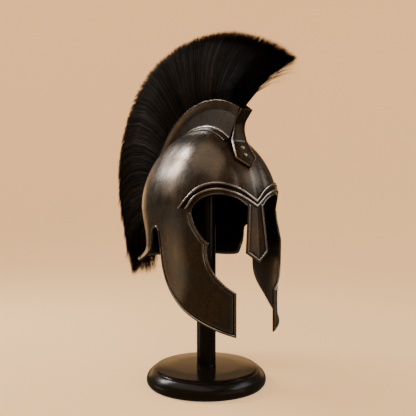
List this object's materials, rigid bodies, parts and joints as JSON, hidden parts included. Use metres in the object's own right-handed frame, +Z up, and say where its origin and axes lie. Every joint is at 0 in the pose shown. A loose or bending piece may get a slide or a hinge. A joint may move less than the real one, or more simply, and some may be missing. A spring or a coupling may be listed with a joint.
{
  "type": "greek crested helmet on display stand",
  "caption": "Antiqued sheet-metal Greek helmet with long cheek pieces, nasal, neck guard and a tall black brush crest, held upright on a plain turned stand.",
  "frame": {"origin": "middle of the stand's underside", "axes": "+Z up along the stand's post, -Y the way the helmet faces, +X towards the wearer's left"},
  "size_m": [0.2092, 0.5427, 0.6059],
  "materials": {
    "antiqued_steel": "dark antiqued bronze-brown, soft satin",
    "rubbed_bronze": "antiqued, rubbed bright on its raised lines",
    "dull_brass": "dull",
    "black_hair": "dense brush of near-black hair",
    "black_lacquer": "glossy black lacquer"
  },
  "bodies": {
    "root": {"helmet_shell": "antiqued_steel", "brow_band": "rubbed_bronze", "crest_holder": "antiqued_steel", "crest_strap": "rubbed_bronze", "rivet_upper": "dull_brass", "rivet_lower": "dull_brass", "crest_hair_1": "black_hair", "crest_hair_2": "black_hair", "crest_hair_3": "black_hair", "crest_hair_4": "black_hair", "crest_hair_5": "black_hair", "stand_base": "black_lacquer", "stand_post": "black_lacquer", "stand_head": "black_lacquer"}
  },
  "joints": []
}
